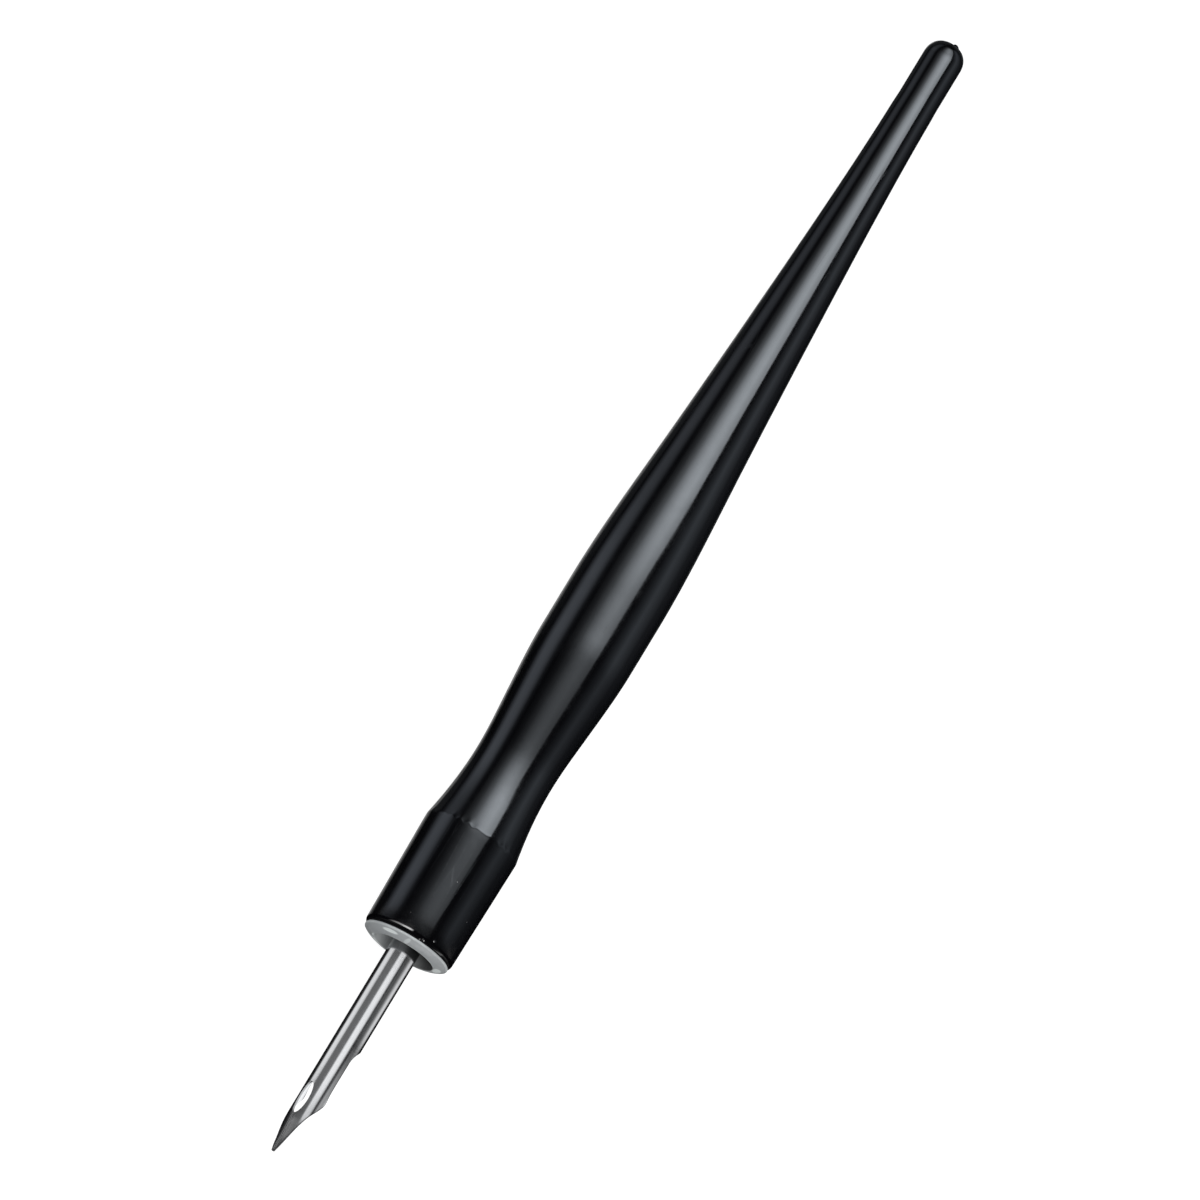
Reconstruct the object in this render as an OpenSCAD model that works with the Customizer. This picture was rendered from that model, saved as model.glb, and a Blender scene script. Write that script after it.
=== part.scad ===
// Dip pen with a tubular (mapping) nib, as used for inking panel lines.
// Lying pen: the axis runs along X, the nib's tip at -X and the tail at +X, and Z = 0 is the table.
// Origin: middle of the length, straight below the axis, on the table.
// Distances "from the tip" and "from the mouth" run along the axis, towards the tail.

/* [Handle] */
// Length of the moulded handle, mouth to tail end
handle_l = 113.1; // [111:0.1:116]
// Diameter of the head at its mouth
head_front_d = 10.28; // [10.1:0.02:10.5]
// Diameter of the head at the crease behind it
head_back_d = 10.74; // [10.6:0.02:11.4]
// Length of the head, mouth to crease
head_l = 13.1; // [12.6:0.1:14]
// Diameter of the waist between head and grip
waist_d = 8.92; // [8.4:0.02:9.6]
// Distance from the mouth to the waist
waist_at = 22.2; // [20:0.1:24]
// Diameter of the grip at its fullest
belly_d = 10.62; // [10:0.02:10.7]
// Distance from the mouth to the fullest point of the grip
belly_at = 40.2; // [38:0.1:43]
// Diameter in the middle of the long taper
taper_d = 8.55; // [7.6:0.05:9]
// Distance from the mouth to the middle of the long taper
taper_at = 62.7; // [60:0.1:66]
// Diameter of the straight tail end
tail_d = 4.4; // [3.8:0.05:5]
// Length of the straight tail, up to the dome
tail_l = 5; // [3:0.5:8]
// Rounding of the outer edge at the mouth
mouth_r = 0.6; // [0.3:0.05:0.7]
// Diameter of the seat bored into the head for the collar
seat_d = 8.4; // [8.3:0.05:8.6]
// Depth of the cored hollow behind the seat
hollow_l = 24; // [10:1:30]
// Height of the gate stub left on the tail's dome
gate_h = 0.22; // [0.1:0.02:0.3]

/* [Collar] */
// Diameter of the collar's flange
flange_d = 9.88; // [9.6:0.02:10.04]
// How far the flange stands out of the mouth
flange_h = 0.76; // [0.6:0.01:1.2]
// Thickness of the flange at its outer rim
flange_rim = 0.2; // [0.1:0.02:0.3]
// Bore of the collar
bore_d = 7; // [6.8:0.05:7.2]
// Number of crush ribs on the collar's sleeve
rib_count = 6; // [3:1:12]

/* [Nib socket] */
// Depth of the sprung fingers' tips behind the collar's rim
finger_at = 3; // [2.5:0.1:3.4]
// Outer diameter of the ring of fingers
finger_d = 5.9; // [5.4:0.05:6.1]
// Width of the slots between the fingers
finger_slot = 0.6; // [0.4:0.05:0.9]
// Radial play of the nib's tube in the fingers
tube_play = 0.04; // [0.02:0.01:0.08]

/* [Nib] */
// Length of the nib, tip to the back of its tube
nib_l = 32; // [31.5:0.1:32.6]
// How far the nib's tip stands out of the collar's rim
nib_out = 25.68; // [25.2:0.02:25.9]
// Outside diameter of the nib's tube
tube_d = 3.3; // [3.2:0.02:3.4]
// Thickness of the nib's steel sheet
sheet_t = 0.2; // [0.16:0.01:0.26]
// Width of the open seam along the tube
seam_w = 0.14; // [0.08:0.02:0.3]
// Length of the pointed part, tip to shoulders
point_l = 7; // [6.6:0.1:7.6]
// Angle that each edge of the point stands off the vented back, in degrees, a quarter of the way along it
point_deg = 26; // [22:1:28]
// Distance from the tip to the back of the open trough
trough_l = 14.2; // [13.4:0.05:15]
// Radius of the corner at the back of the trough
trough_r = 2; // [1.6:0.05:2.3]
// Angle that each edge of the trough stands off the vented back, in degrees
trough_deg = 92; // [84:1:98]
// Distance from the tip to the middle of the vent
vent_at = 6.6; // [6.2:0.05:7]
// Length of the vent
vent_l = 3.86; // [3:0.02:4.2]
// Width of the vent, seen from above
vent_w = 1.34; // [0.8:0.02:1.5]
// Width of the slit between the tines
slit_w = 0.05; // [0.04:0.01:0.1]
// How far the nib is turned in its socket: 0 has its vented back straight up, 90 has it towards +Y
nib_turned = 35; // [-180:5:180]

/* [Hidden] */
$fn = 96;
e = 0.01;                               // overlap for clean cuts
total_l = nib_out + flange_h + handle_l + gate_h; // tip to the gate stub's end
mouth_at = nib_out + flange_h;          // distance from the tip to the handle's mouth
axis_z = head_back_d / 2;               // the pen lies on its widest ring
rim_at = nib_out;                       // distance from the tip to the collar's rim
tube_r = tube_d / 2;
bore_r = bore_d / 2;
seat_r = seat_d / 2;
seat_l = 12.2;                          // depth of the seat
sleeve_l = 12.15;                       // length of the collar's sleeve
sleeve_r = seat_r - 0.1;                // sleeve between its crush ribs
pocket_r = seat_r - 0.4;                // pocket in the back of the collar, for the socket's base
pocket_at = rim_at + 8;                 // front of that pocket
play = 0.05;                            // running clearance round and along the socket's base
base_r = pocket_r - play;
base_at = pocket_at + play;
base_l = mouth_at + seat_l - play - base_at;
stop_at = nib_l + 0.05;                 // floor of the hole that takes the tube

// Stations of the handle's outline behind the crease: distance from the mouth, radius, slope
outline = [
    [head_l, head_back_d / 2, -0.19],
    [waist_at, waist_d / 2, 0],
    [(waist_at + belly_at) / 2 - 1.95, waist_d / 2 + 0.488 * (belly_d - waist_d) / 2, 0.078],
    [belly_at - 3, belly_d / 2, 0], // the grip's fullest point is a short straight land, and the pen lies on it
    [belly_at + 3, belly_d / 2, 0],
    [taper_at, taper_d / 2, -0.0625],
    [85.2, tail_d / 2 + 0.374 * (taper_d - tail_d) / 2, -0.0525],
    [104.4, tail_d / 2 + 0.023 * (taper_d - tail_d) / 2, -0.013],
    [handle_l - tail_d / 2 - tail_l, tail_d / 2, -0.012]
];

// Stations of the angle that the sheet covers to each side of the vented back: distance from the tip, angle, slope
q = point_l / 7;
edge_stations = [
    [0.2 * q, 8, 14 / q],
    [1.95 * q, point_deg, 10.8 / q],
    [3.85 * q, 47.5, 12.5 / q],
    [5.15 * q, 65, 16.5 / q],
    [6.4 * q, 88, 17 / q],
    [7 * q, trough_deg + 4.5, 3 / q],
    [8.2 * q, trough_deg + 0.5, -1.5 / q],
    [trough_l - trough_r, trough_deg, 0]
];

// Cubic curve through two stations [x, y, slope], at share t of the way
function cubic(a, b, t) =
    let (l = b[0] - a[0], q = t * t, c = q * t)
    (2 * c - 3 * q + 1) * a[1] + (c - 2 * q + t) * l * a[2] + (3 * q - 2 * c) * b[1] + (c - q) * l * b[2];

// Points along a list of stations, about `step` apart
function along(s, step) = [
    for (i = [0 : len(s) - 2])
        let (n = max(2, ceil((s[i + 1][0] - s[i][0]) / step)))
        for (k = [0 : n - 1]) [s[i][0] + (s[i + 1][0] - s[i][0]) * k / n, cubic(s[i], s[i + 1], k / n)],
    [s[len(s) - 1][0], s[len(s) - 1][1]]
];

// Points of an arc about [x, y]
function arc(x, y, r, from, to, n) = [for (k = [0 : n]) let (a = from + (to - from) * k / n) [x + r * cos(a), y + r * sin(a)]];

// Lays something drawn along +Z, with the nib's tip at 0, on the pen's axis. Its -X side turns up.
module on_axis() {
    translate([-total_l / 2, 0, axis_z]) rotate([0, 90, 0]) children();
}

// Turns an outline of [distance, radius] points about the axis
module lathe(pts) {
    rotate_extrude($fn = 128) polygon([for (p = pts) [max(0, p[1]), p[0]]]);
}

// Ring between two radii, from one distance to another
module ring(ro, ri, from, to) {
    translate([0, 0, from]) difference() {
        cylinder(r = ro, h = to - from);
        translate([0, 0, -e]) cylinder(r = ri, h = to - from + 2 * e);
    }
}

// Outer form of the handle: tapered head, crease, waist, grip, long taper, domed tail
module handle_form() {
    m = mouth_at;
    lathe(concat(
        [[m, 0]],
        [for (p = arc(mouth_r, head_front_d / 2 - mouth_r, mouth_r, 180, 90, 8)) [m + p[0], p[1]]],
        [[m + head_l, head_back_d / 2]],
        [for (p = along(outline, 3)) if (p[0] > head_l + 0.1) [m + p[0], p[1]]],
        [for (p = arc(handle_l - tail_d / 2, 0, tail_d / 2, 90, 0, 12)) [m + p[0], p[1]]]
    ));
}

// Black moulded handle: seat for the collar, cored hollow behind it, gate stub on the dome
module handle() {
    color("#15161a") on_axis() {
        difference() {
            handle_form();
            translate([0, 0, mouth_at - e]) cylinder(r = seat_r, h = seat_l + e);
            translate([0, 0, mouth_at + seat_l - e]) cylinder(r1 = 2.5, r2 = 2.1, h = hollow_l + e);
            translate([0, 0, mouth_at + seat_l + hollow_l]) sphere(r = 2.1);
        }
        // gate stub: a small cone cut off, a little to one side of the axis
        translate([0, -0.42, mouth_at + handle_l - 0.12]) cylinder(r1 = 0.42, r2 = 0.16, h = gate_h + 0.12);
    }
}

// Outline of the collar's bevelled flange and sleeve, with the bore and the pocket behind it
module collar_form() {
    a = rim_at;
    b = mouth_at;
    fr = flange_d / 2;
    lathe(concat(
        arc(a + 0.1, bore_r + 0.1, 0.1, 270, 180, 4),
        [[a, bore_r + 0.16]],
        [for (k = [1 : 7]) let (q = k / 8) [
            a + (flange_h - flange_rim) * q - 0.07 * sin(180 * q),
            bore_r + 0.16 + (fr - bore_r - 0.16) * q + 0.05 * sin(180 * q)]],
        [[b - flange_rim, fr], [b, fr], [b, sleeve_r],
         [b + sleeve_l - 0.5, sleeve_r], [b + sleeve_l, sleeve_r - 0.2],
         [b + sleeve_l, pocket_r], [pocket_at, pocket_r], [pocket_at, bore_r]]
    ));
}

// Grey collar: flange, sleeve and crush ribs that grip the seat
module collar() {
    color("#9a9ea1") on_axis() {
        collar_form();
        for (i = [0 : rib_count - 1]) rotate([0, 0, 360 * (i + 0.5) / rib_count])
            intersection() {
                ring(seat_r, sleeve_r - 0.1, mouth_at + 1, mouth_at + sleeve_l - 1.2);
                translate([seat_r - 0.5, -0.35, mouth_at]) cube([1, 0.7, sleeve_l]);
            }
    }
}

// Dark grey socket: a base that turns in the collar's pocket, and four sprung fingers round the tube
module nib_socket() {
    hole_r = tube_r + tube_play;
    fr = finger_d / 2;
    tips = rim_at + finger_at;
    color("#4b4e50") on_axis() difference() {
        lathe([
            [stop_at, 0], [stop_at, hole_r], [tips + 0.35, hole_r], [tips, hole_r + 0.35],
            [tips, fr - 0.3], [tips + 0.3, fr], [base_at - 0.7, fr], [base_at - 0.4, fr + 0.15],
            [base_at - 0.4, bore_r - play * 2], [base_at, bore_r - play * 2], [base_at, base_r],
            [base_at + base_l - 0.3, base_r], [base_at + base_l, base_r - 0.3],
            [base_at + base_l, 2.2], [base_at + 1.7, 2], [base_at + 1.7, 0]
        ]);
        for (a = [45, 135]) rotate([0, 0, a])
            translate([-5, -finger_slot / 2, tips - 1]) cube([10, finger_slot, base_at - 0.9 - tips + 1]);
    }
}

// The sheet's edge from tip to trough: [distance, angle], with a round tip and a round corner at the back
tube_deg = 179;
edge = concat(
    [[-0.05, 1.5], [0, 2.5], [0.03, 4.2], [0.09, 6.2]],
    along(edge_stations, 0.5),
    [for (k = [1 : 10]) let (a = 9 * k) [
        trough_l - trough_r + trough_r * sin(a),
        min(tube_deg, trough_deg + trough_r * (1 - cos(a)) / tube_r * 180 / PI)]],
    [[trough_l + 0.01, tube_deg], [trough_l + 0.2, tube_deg]]
);

// Wedge about the axis that holds the sheet's part of the tube, so that its edges are cut square to the sheet
module sheet_wedge() {
    m = 12;
    w = m + 2;
    n = len(edge);
    ro = 3;
    polyhedron(
        points = [for (p = edge) each concat([[p[0], 0, 0]],
            [for (k = [0 : m]) let (a = p[1] * (2 * k / m - 1)) [p[0], ro * sin(a), ro * cos(a)]])],
        faces = concat(
            [[for (k = [w - 1 : -1 : 0]) k]],
            [[for (k = [0 : w - 1]) (n - 1) * w + k]],
            [for (i = [0 : n - 2]) for (k = [0 : w - 1]) let (a = i * w + k, b = i * w + (k + 1) % w)
                each [[a, b, a + w], [b, b + w, a + w]]])
    );
}

// Steel nib, drawn along +X with its vented back up: rolled tube, open trough, tines, vent, slit and seam
module nib_straight() {
    difference() {
        intersection() {
            rotate([0, 90, 0]) ring(tube_r, tube_r - sheet_t, 0, nib_l);
            union() {
                sheet_wedge();
                translate([trough_l, -3, -3]) cube([nib_l, 6, 6]);
            }
        }
        // vent
        translate([vent_at, 0, 0.5]) linear_extrude(height = 3)
            polygon([for (i = [0 : 47]) [vent_l / 2 * cos(i * 7.5), vent_w / 2 * sin(i * 7.5)]]);
        // slit, from the tip into the vent
        translate([-1, -slit_w / 2, 0.5]) cube([vent_at - vent_l / 2 + 1.3, slit_w, 3]);
        // seam along the underside of the tube
        translate([trough_l - 3, -seam_w / 2, -3]) cube([nib_l, seam_w, 2.4]);
    }
}

module nib() {
    color("#b9bcc2") translate([-total_l / 2, 0, axis_z]) rotate([-nib_turned, 0, 0]) nib_straight();
}

handle();
collar();
nib_socket();
nib();
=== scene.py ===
"""Looks for a dip pen with a tubular nib that lies on a white table: fine meshes, procedural materials, soft light.
Lengths in this file are in mm along the pen and are scaled to metres when a mesh is made.
"from the tip" runs along the axis from the nib's tip towards the tail."""

import math

import bpy
import numpy as np
from mathutils import Matrix, Vector

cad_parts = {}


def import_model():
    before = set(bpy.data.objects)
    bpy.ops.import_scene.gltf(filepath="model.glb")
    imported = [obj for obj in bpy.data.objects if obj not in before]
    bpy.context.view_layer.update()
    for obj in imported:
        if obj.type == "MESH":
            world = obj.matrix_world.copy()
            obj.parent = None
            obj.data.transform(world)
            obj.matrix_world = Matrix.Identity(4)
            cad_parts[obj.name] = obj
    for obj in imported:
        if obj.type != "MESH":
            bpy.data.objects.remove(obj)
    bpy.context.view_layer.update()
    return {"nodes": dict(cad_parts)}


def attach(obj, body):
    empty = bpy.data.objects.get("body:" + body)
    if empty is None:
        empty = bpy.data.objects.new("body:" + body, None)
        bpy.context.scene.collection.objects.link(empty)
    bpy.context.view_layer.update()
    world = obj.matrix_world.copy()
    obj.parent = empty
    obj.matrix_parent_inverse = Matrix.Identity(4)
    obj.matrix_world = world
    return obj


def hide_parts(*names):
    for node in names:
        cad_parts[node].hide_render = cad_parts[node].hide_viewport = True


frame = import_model()

# ---------------------------------------------------------------- sizes, as in the CAD source
handle_l, head_front_d, head_back_d, head_l = 113.1, 10.28, 10.74, 13.1
waist_d, waist_at, belly_d, belly_at = 8.92, 22.2, 10.62, 40.2
taper_d, taper_at, tail_d, tail_l = 8.55, 62.7, 4.4, 5.0
mouth_r, seat_d, seat_l, hollow_l, gate_h = 0.6, 8.4, 12.2, 24.0, 0.22
flange_d, flange_h, flange_rim, bore_d = 9.88, 0.76, 0.2, 7.0
nib_l, nib_out, tube_d, sheet_t, seam_w = 32.0, 25.68, 3.3, 0.2, 0.14
point_l, point_deg, trough_l, trough_r, trough_deg = 7.0, 26.0, 14.2, 2.0, 92.0
vent_at, vent_l, vent_w, slit_w, nib_turned = 6.6, 3.86, 1.34, 0.05, 35.0
total_l = nib_out + flange_h + handle_l + gate_h
mouth_at, rim_at, axis_z = nib_out + flange_h, nib_out, head_back_d / 2
TIP = -total_l / 2

MM = 0.001
CAM_AZ, CAM_EL = math.radians(-59.856), math.radians(73.581)
CAM_BACK = Vector((math.sin(CAM_AZ) * math.cos(CAM_EL), -math.cos(CAM_AZ) * math.cos(CAM_EL), math.sin(CAM_EL)))
CAM_PHI = math.degrees(math.atan2(CAM_BACK.y, CAM_BACK.z))  # the camera's direction round the axis; 0 is up, + is +Y


# ---------------------------------------------------------------- mesh helpers
def cubic(a, b, t):
    l = b[0] - a[0]
    return (
        (2 * t**3 - 3 * t**2 + 1) * a[1]
        + (t**3 - 2 * t**2 + t) * l * a[2]
        + (3 * t**2 - 2 * t**3) * b[1]
        + (t**3 - t**2) * l * b[2]
    )


def stations_at(stations, x):
    """Value of a cubic curve through [x, y, slope] stations."""
    for a, b in zip(stations, stations[1:]):
        if x <= b[0]:
            return cubic(a, b, max(0.0, (x - a[0]) / (b[0] - a[0])))
    return stations[-1][1]


def waves(seed, count, lo, hi):
    """A smooth repeatable wobble of two variables: a sum of sines with seeded directions and phases, about -1..1."""
    rng = np.random.default_rng(seed)
    k = rng.uniform(lo, hi, (count, 2)) * rng.choice([-1, 1], (count, 2))
    p = rng.uniform(0, 2 * math.pi, count)

    def f(u, v):
        u, v = np.asarray(u, float), np.asarray(v, float)
        return sum(np.sin(k[i, 0] * u + k[i, 1] * v + p[i]) for i in range(count)) / math.sqrt(count)

    return f


def new_mesh(name, verts_mm, faces, smooth=True):
    me = bpy.data.meshes.new(name)
    me.from_pydata([tuple(v) for v in (np.asarray(verts_mm, float) * MM)], [], [tuple(f) for f in faces])
    me.validate(verbose=False)
    me.update()
    if smooth:
        me.polygons.foreach_set("use_smooth", [True] * len(me.polygons))
    ob = bpy.data.objects.new(name, me)
    bpy.context.scene.collection.objects.link(ob)
    return ob


def on_axis(d, r, phi):
    """Point at distance d from the tip, radius r, and phi degrees round the axis (0 up, + towards +Y), in mm."""
    a = np.radians(phi)
    return np.stack([TIP + d + 0 * a, r * np.sin(a), axis_z + r * np.cos(a)], -1)


def lathe(name, profile, phis, bend=None):
    """Mesh of revolution. profile is a list of (distance, radius), radius 0 at a closed end; bend(d, r, phi) may move points.
    The outline runs so that its solid lies on its right-hand side: from the inside out at the front, then to the back."""
    verts, faces, rings = [], [], []
    n = len(phis)
    for d, r in profile:
        if r <= 1e-9:
            rings.append([len(verts)])
            verts.append(on_axis(np.array(d), np.array(0.0), np.array(0.0)))
            continue
        dd, rr = np.full(n, d), np.full(n, r)
        if bend is not None:
            dd, rr = bend(dd, rr, phis)
        rings.append(list(range(len(verts), len(verts) + n)))
        verts.extend(on_axis(dd, rr, phis))
    for a, b in zip(rings, rings[1:]):
        for k in range(n):
            j = (k + 1) % n
            if len(a) == 1 and len(b) == 1:
                continue
            if len(a) == 1:
                faces.append((a[0], b[j], b[k]))
            elif len(b) == 1:
                faces.append((a[k], a[j], b[0]))
            else:
                faces.append((a[k], a[j], b[j], b[k]))
    ob = new_mesh(name, verts, faces)
    return ob


def arc(x, y, r, a0, a1, n):
    return [(x + r * math.cos(math.radians(a0 + (a1 - a0) * k / n)), y + r * math.sin(math.radians(a0 + (a1 - a0) * k / n))) for k in range(n + 1)]


def outward(ob):
    """Turns every face outwards and checks that the mesh is closed."""
    import bmesh

    bm = bmesh.new()
    bm.from_mesh(ob.data)
    bmesh.ops.recalc_face_normals(bm, faces=bm.faces)
    if bm.calc_volume(signed=True) < 0:
        bmesh.ops.reverse_faces(bm, faces=bm.faces)
    loose = sum(1 for e in bm.edges if len(e.link_faces) != 2)
    print(ob.name, len(bm.verts), "points", len(bm.faces), "faces", loose, "open edges", round(bm.calc_volume() * 1e9, 2), "mm3")
    bm.to_mesh(ob.data)
    bm.free()
    ob.data.update()
    return ob


# ---------------------------------------------------------------- handle
outline = [
    (head_l, head_back_d / 2, -0.19),
    (waist_at, waist_d / 2, 0.0),
    ((waist_at + belly_at) / 2 - 1.95, waist_d / 2 + 0.488 * (belly_d - waist_d) / 2, 0.078),
    (belly_at - 3, belly_d / 2, 0.0),
    (belly_at + 3, belly_d / 2, 0.0),
    (taper_at, taper_d / 2, -0.0625),
    (85.2, tail_d / 2 + 0.374 * (taper_d - tail_d) / 2, -0.0525),
    (104.4, tail_d / 2 + 0.023 * (taper_d - tail_d) / 2, -0.013),
    (handle_l - tail_d / 2 - tail_l, tail_d / 2, -0.012),
]
PARTING = (67.0, -113.0)  # where the mould's two halves meet


def spread(count, ridges, near):
    """Angles round the axis: `count` even ones and a few close ones about each ridge."""
    a = {round(-180 + 360 * k / count, 4) for k in range(count)}
    a = {x for x in a if all(abs((x - r + 180) % 360 - 180) > near[-1] * 1.25 for r in ridges)}
    for r in ridges:
        a |= {round((r + s * x + 180) % 360 - 180, 4) for x in near for s in (-1, 1)} | {round(r, 4)}
    return np.array(sorted(a))


def make_handle():
    m, seat_r = mouth_at, seat_d / 2
    front_r = head_front_d / 2
    # inside, from the end of the hollow forwards
    prof = [(m + seat_l + hollow_l + 2.1, 0.0)]
    prof += [(m + seat_l + hollow_l + 2.1 * math.cos(math.radians(a)), 2.1 * math.sin(math.radians(a))) for a in (15, 30, 45, 60, 75, 90)]
    prof += [(m + seat_l + 16, 2.233), (m + seat_l + 8, 2.367), (m + seat_l, 2.5), (m + seat_l, 3.4), (m + seat_l, seat_r - 0.05), (m + seat_l - 0.05, seat_r)]
    prof += [(m + seat_l - 4, seat_r), (m + 4, seat_r), (m + 1, seat_r), (m + 0.06, seat_r), (m + 0.018, seat_r + 0.018), (m, seat_r + 0.06)]
    # mouth face and its rounded outer edge
    prof += [(m, (seat_r + 0.06 + front_r - mouth_r) / 2)]
    prof += [(m + x, y) for x, y in arc(mouth_r, front_r - mouth_r, mouth_r, 180, 90, 18)]
    # head
    steps = [0.66, 0.75, 0.85, 0.96, 1.08, 1.22, 1.4] + list(np.linspace(1.6, head_l - 0.32, 31))
    prof += [(m + s, front_r + (head_back_d / 2 - front_r) * (s - mouth_r) / (head_l - mouth_r)) for s in steps]
    # crease: a corner of about 0.4 mm radius, whose middle lies a little behind the head's end
    head_slope = (head_back_d / 2 - front_r) / (head_l - mouth_r)
    late = 0.22
    curve = [(head_l + late, head_back_d / 2 + head_slope * late, -0.192)] + outline[1:]
    for k in range(-8, 9):
        s = 0.033 * k
        soft = 0.5 * (math.sqrt(s * s + 0.10**2) + s)  # smooth ramp
        prof.append((m + head_l + late + s, head_back_d / 2 + head_slope * (s + late) - (0.19 + head_slope) * soft))
    xs = [head_l + late + 0.33 + 0.3 * k for k in range(int((104.4 - head_l) / 0.3))]
    end = handle_l - tail_d / 2 - tail_l
    xs = [x for x in xs if x < end - 0.2] + [end]
    prof += [(m + x, stations_at(curve, x) - (0.0 if x > head_l + 1.2 else 0.002)) for x in xs]
    prof += [(m + end + s, tail_d / 2) for s in np.arange(0.4, tail_l - 0.1, 0.4)]
    for a in np.linspace(90, 0, 26):
        ca, sa = max(0.0, math.cos(math.radians(a))), math.sin(math.radians(a))
        prof.append((m + handle_l - tail_d / 2 + 2.2 * ca**0.86, 2.2 * sa**0.86))
    prof[-1] = (m + handle_l, 0.0)

    low, mid, fine = waves(11, 7, 0.06, 0.35), waves(12, 9, 0.5, 1.6), waves(13, 9, 3.0, 9.0)
    ragged = waves(14, 8, 2.0, 14.0)

    def bend(d, r, phi):
        s = d - m  # distance from the mouth
        a = np.radians(phi)
        outside = (r > 4.45) | (s > 30)
        inside = (s > 0) & (s < 45) & (r < 4.3)
        amount = np.where(outside & ~inside, 1.0, 0.0)
        fade = np.clip((handle_l - s) / 3.0, 0, 1)
        # slow waviness of a moulded surface
        r2 = r + amount * fade * (0.0035 * low(s, 2.0 * np.sin(a) * 6) + 0.0016 * mid(s, 5 * np.cos(a)))
        # flash line where the mould closes
        for p in PARTING:
            off = np.abs((phi - p + 180) % 360 - 180) * math.pi / 180 * np.maximum(r, 0.5)
            line = np.exp(-((off / 0.055) ** 2))
            r2 = r2 + amount * np.clip(s / 0.5, 0, 1) * fade * 0.020 * line * (0.8 + 0.3 * fine(s * 0.4, 0 * a))
        # the crease is scuffed, so it wanders a little
        near = np.exp(-(((s - head_l - late) / 0.45) ** 2))
        d2 = d + amount * near * 0.10 * ragged(3.0 * a, 0 * s)
        r2 = r2 - amount * near * 0.005 * np.abs(ragged(5.0 * a, s))
        # nicks in the front edge, and a speck or two on the head
        for ps, pp, size, deep in NICKS:
            off = (phi - pp + 180) % 360 - 180
            w = np.exp(-(((s - ps) / size) ** 2) - ((off * math.pi / 180 * 5.1 / size) ** 2))
            r2 = r2 - amount * deep * w
        return d2, r2

    phis = spread(224, PARTING, (0.35, 0.7, 1.1, 1.7))
    return outward(lathe("handle_body", prof, phis, bend))


# dents: distance from the mouth, angle round the axis, size, depth (a minus depth is a raised speck)
NICKS = (
    (0.10, -18.0, 0.14, 0.09),
    (0.26, -20.5, 0.10, -0.05),
    (0.22, -23.0, 0.11, 0.08),
    (0.75, -33.4, 0.11, -0.04),
    (4.7, -59.5, 0.09, 0.03),
    (7.4, -20.0, 0.10, 0.02),
    (2.1, 8.0, 0.07, 0.018),
)


def make_gate():
    """The cut-off gate stub on the tail's dome, a little to one side."""
    x0 = mouth_at + handle_l
    prof = [(x0 - 0.12, 0.0), (x0 - 0.12, 0.42), (x0 - 0.02, 0.375), (x0 + 0.06, 0.315), (x0 + 0.14, 0.245), (x0 + gate_h - 0.05, 0.195), (x0 + gate_h - 0.015, 0.17), (x0 + gate_h, 0.12), (x0 + gate_h - 0.012, 0.0)]
    rough = waves(31, 6, 1.0, 5.0)

    def bend(d, r, phi):
        a = np.radians(phi)
        return d - 0.02 * np.clip((d - x0) / gate_h, 0, 1) * np.abs(rough(3 * a, 8 * r)), r * (1 + 0.06 * rough(2 * np.sin(a), 3 * np.cos(a)))

    ob = lathe("gate_stub", prof, np.arange(-180, 180, 12.0), bend)
    for v in ob.data.vertices:
        v.co.y -= 0.42 * MM
    return outward(ob)


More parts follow.
